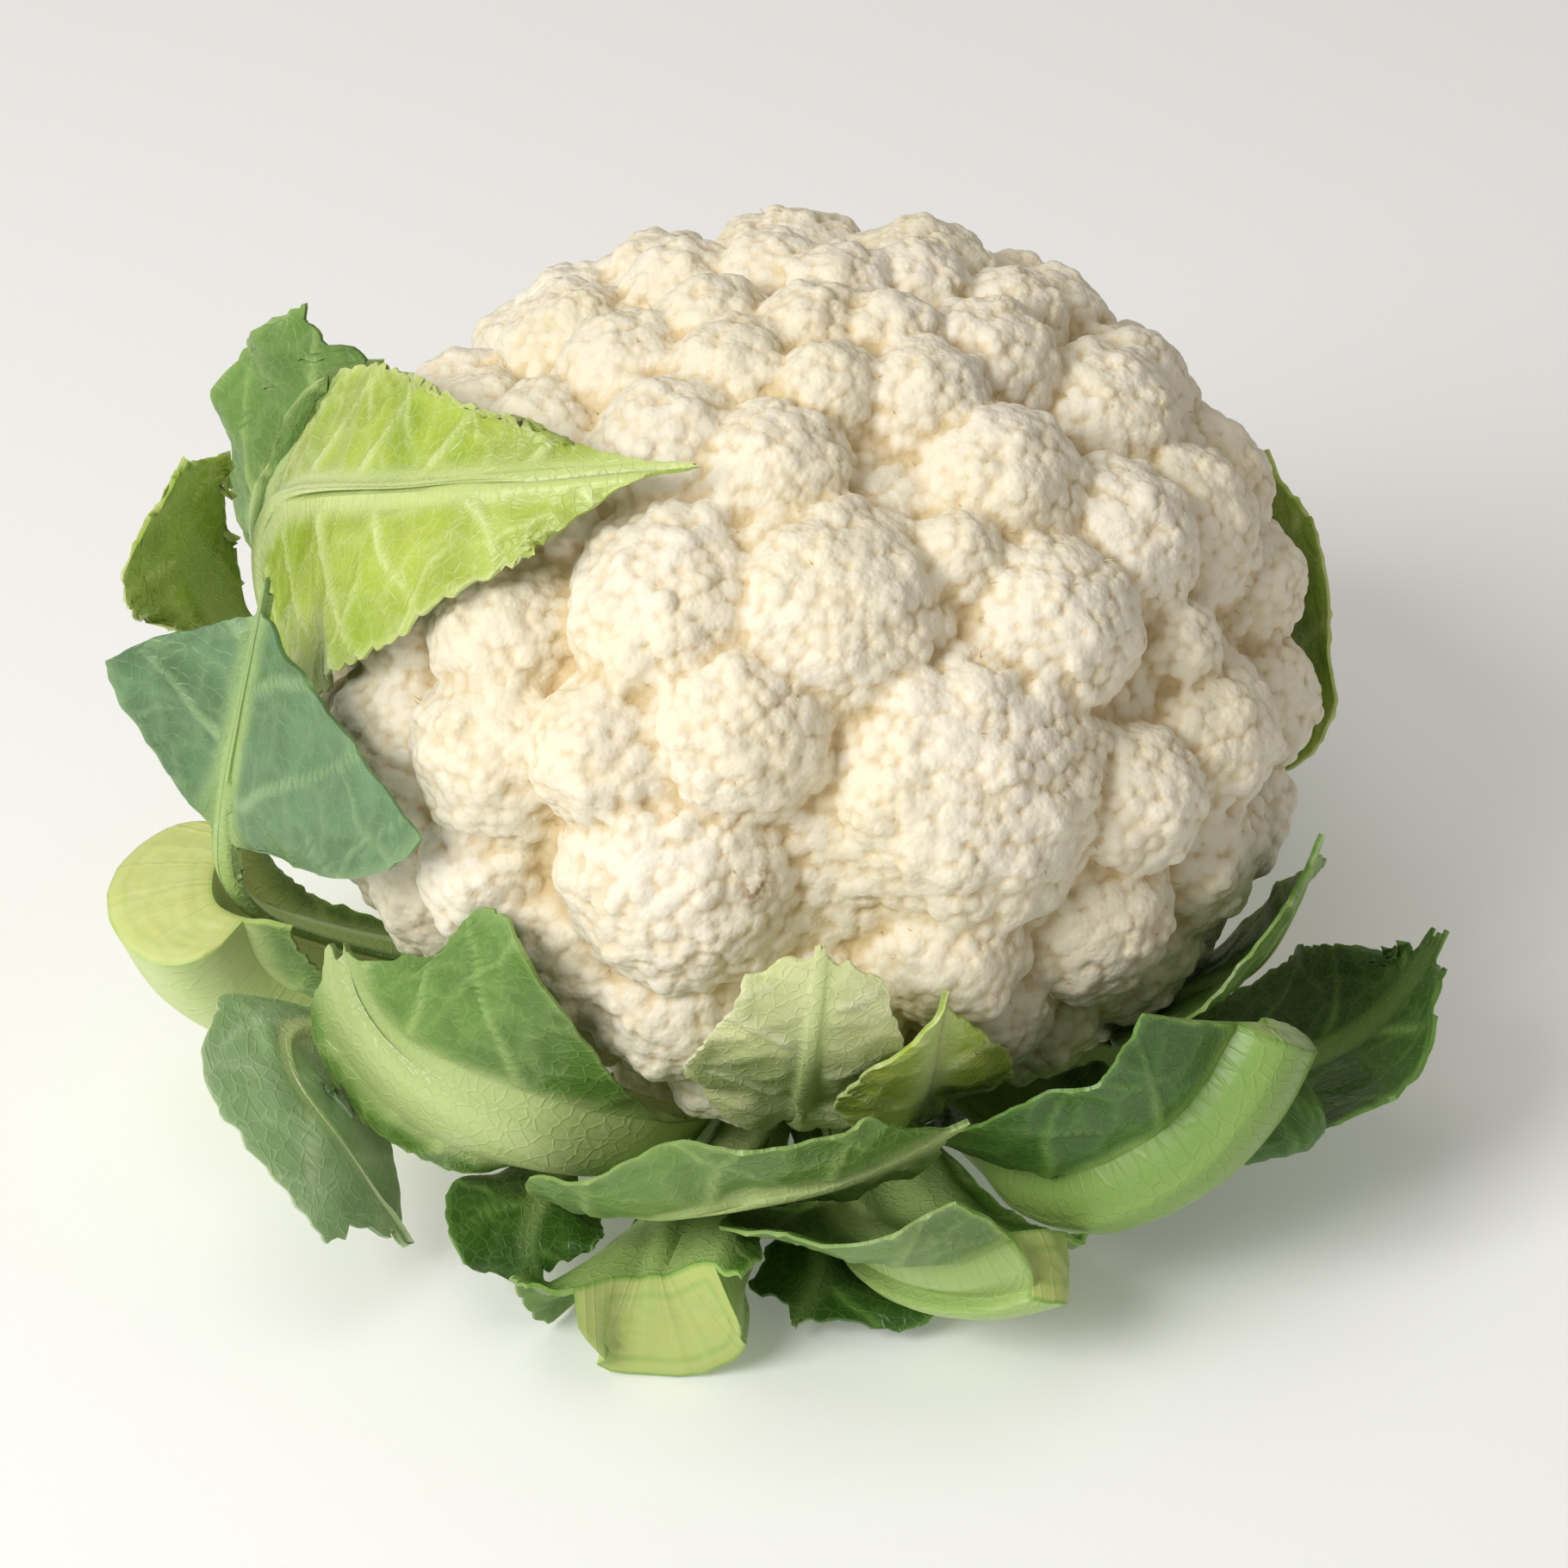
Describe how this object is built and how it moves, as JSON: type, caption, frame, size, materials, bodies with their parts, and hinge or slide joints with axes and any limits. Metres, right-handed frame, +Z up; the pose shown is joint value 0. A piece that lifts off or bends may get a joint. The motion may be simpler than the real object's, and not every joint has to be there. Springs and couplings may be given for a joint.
{
  "type": "cauliflower",
  "caption": "Whole trimmed cauliflower: a domed head of white florets on a flat cut stump, wrapped in trimmed and torn green leaves with thick cut stalks.",
  "frame": {"origin": "centre of the stump's flat cut face, on the surface that the head stands on", "axes": "+Z up through the crown of the head, front towards -Y, +X to the right seen from the front"},
  "size_m": [0.2212, 0.2068, 0.1445],
  "materials": {
    "curd": "creamy white, granular, slightly translucent",
    "stump": "pale green rind with a moist cut face",
    "leaf_pale": "pale waxy leaf, satin",
    "leaf_yellow_green": "fresh yellow-green leaf, satin",
    "leaf_blue_green": "bluish green leaf with a waxy bloom",
    "leaf_mid_green": "mid green leaf with pale veins, satin",
    "leaf_dark_green": "dark green leaf with pale veins, satin"
  },
  "bodies": {
    "root": {"curd": "curd", "stem": "stump", "front_pale_inner_leaf": "leaf_pale", "front_bright_inner_leaf": "leaf_yellow_green", "back_inner_leaf": "leaf_pale", "right_upright_leaf": "leaf_dark_green", "back_right_leaf": "leaf_yellow_green", "left_draped_leaf": "leaf_yellow_green", "back_middle_leaf": "leaf_mid_green", "right_back_upright_leaf": "leaf_mid_green", "back_left_curled_leaf": "leaf_dark_green", "left_folded_leaf": "leaf_blue_green", "lower_left_leaf": "leaf_mid_green", "front_rolled_leaf": "leaf_mid_green", "left_drooping_leaf": "leaf_blue_green", "front_left_drooping_leaf": "leaf_dark_green", "left_torn_leaf": "leaf_yellow_green", "right_outer_leaf": "leaf_dark_green", "back_left_outer_leaf": "leaf_mid_green", "back_right_outer_leaf": "leaf_mid_green", "left_cut_stalk": "leaf_pale", "right_cut_stalk": "leaf_mid_green", "front_right_cut_stalk": "leaf_mid_green", "front_left_cut_stalk": "leaf_mid_green", "front_low_leaf": "leaf_dark_green"}
  },
  "joints": []
}
